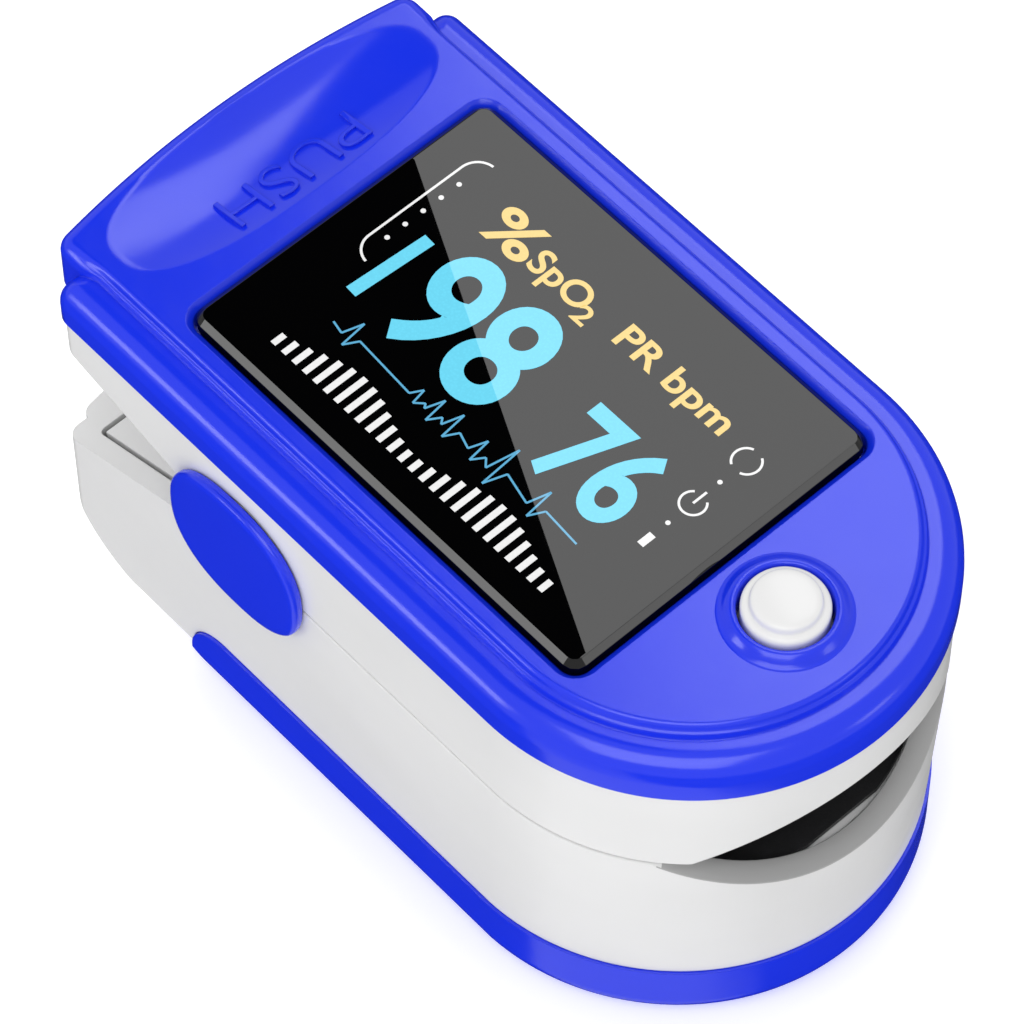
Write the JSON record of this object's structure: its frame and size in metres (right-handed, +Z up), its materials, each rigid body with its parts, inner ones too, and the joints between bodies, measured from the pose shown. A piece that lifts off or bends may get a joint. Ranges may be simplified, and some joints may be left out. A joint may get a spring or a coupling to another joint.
{
  "type": "fingertip pulse oximeter",
  "caption": "Fingertip pulse oximeter: spring-hinged clip with padded finger channel, display window, power button, thumb tabs and sliding battery cover",
  "frame": {"origin": "middle of the bounding box's lower face, on the surface that the closed clip rests on", "axes": "X across the clip along the hinge pin, -Y towards the finger mouth, +Y towards the thumb tabs, +Z up through the display"},
  "size_m": [0.0332, 0.058, 0.0328],
  "materials": {
    "blue_gloss": "royal blue gloss moulded plastic",
    "white_gloss": "white gloss moulded plastic",
    "window_black": "polished black display window",
    "silicone_black": "soft matt black silicone",
    "board_green": "green solder mask",
    "chip_black": "black moulded package",
    "glass_dark": "dark display glass",
    "lens_clear": "clear epoxy lens",
    "steel": "bright drawn steel",
    "nickel": "nickel-plated spring steel",
    "cell_wrap": "printed cell sleeve over a steel can"
  },
  "bodies": {
    "lower_half": {"lower_shell": "white_gloss", "lower_liner": "white_gloss", "lower_pad": "silicone_black", "sensor_board": "board_green", "photodiode": "chip_black", "detector_lens": "lens_clear", "battery_left": "cell_wrap", "battery_right": "cell_wrap", "bridge_contact": "nickel", "contact_left": "nickel", "contact_right": "nickel", "contact_spring_left": "nickel", "contact_spring_right": "nickel", "hinge_pin": "steel", "hinge_cap_left": "blue_gloss", "hinge_cap_right": "blue_gloss", "liner_screw_left": "steel", "liner_screw_right": "steel", "torsion_spring": "steel"},
    "cover_slide": {"battery_cover": "blue_gloss"},
    "upper_half": {"top_cover": "blue_gloss", "display_window": "window_black", "upper_shell": "white_gloss", "upper_liner": "white_gloss", "upper_pad": "silicone_black", "main_board": "board_green", "microcontroller": "chip_black", "analog_chip": "chip_black", "oled_display": "glass_dark", "switch_body": "chip_black", "led_emitter": "lens_clear", "emitter_lens": "lens_clear", "cover_screw_1": "steel", "cover_screw_2": "steel", "cover_screw_3": "steel", "cover_screw_4": "steel"},
    "button": {"power_button": "white_gloss"},
    "plunger": {"switch_plunger": "white_gloss"}
  },
  "joints": [
    {"name": "clip_hinge", "type": "hinge", "parent": "lower_half", "child": "upper_half", "pos_m": [0, 0.0085, 0.0205], "axis": [-1, 0, 0], "range_deg": [0, 28], "stiffness_Nm_per_rad": 0.12, "springref_deg": -20.05, "deforming": ["torsion_spring"]},
    {"name": "battery_cover_slide", "type": "slide", "parent": "lower_half", "child": "cover_slide", "axis": [0, -1, 0], "range_m": [0, 0.045]},
    {"name": "button_press", "type": "slide", "parent": "upper_half", "child": "button", "axis": [0, 0, -1], "range_m": [0, 0.0005], "stiffness_N_per_m": 800},
    {"name": "switch_plunger_press", "type": "slide", "parent": "upper_half", "child": "plunger", "axis": [0, 0, -1], "range_m": [0, 0.0005]}
  ],
  "couplings": [
    {"joint": "switch_plunger_press", "follows": "button_press", "ratio": 1}
  ]
}
